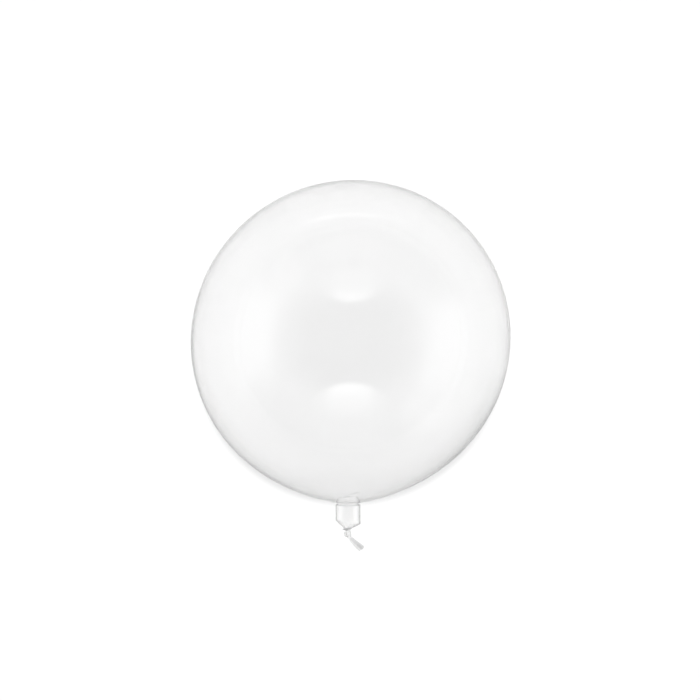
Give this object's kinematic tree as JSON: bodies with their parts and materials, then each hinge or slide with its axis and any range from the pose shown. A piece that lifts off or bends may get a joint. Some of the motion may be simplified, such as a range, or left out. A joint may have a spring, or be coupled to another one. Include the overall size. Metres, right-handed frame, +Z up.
{
  "type": "clear bubble balloon",
  "caption": "Round clear film balloon, sealed and full, with a short cup-shaped neck gathered into an overhand knot and a flared tail, lying on its side.",
  "frame": {"origin": "centre of the small flat spot under the ball, on the ground", "axes": "+Z up, +Y along the balloon's own axis from the neck to the crown, so the neck and knot point to -Y; +X to the side that the tail leans to"},
  "size_m": [0.4006, 0.4658, 0.3984],
  "materials": {
    "clear_film": "clear blown film, high gloss"
  },
  "bodies": {
    "root": {"balloon": "clear_film"}
  },
  "joints": []
}
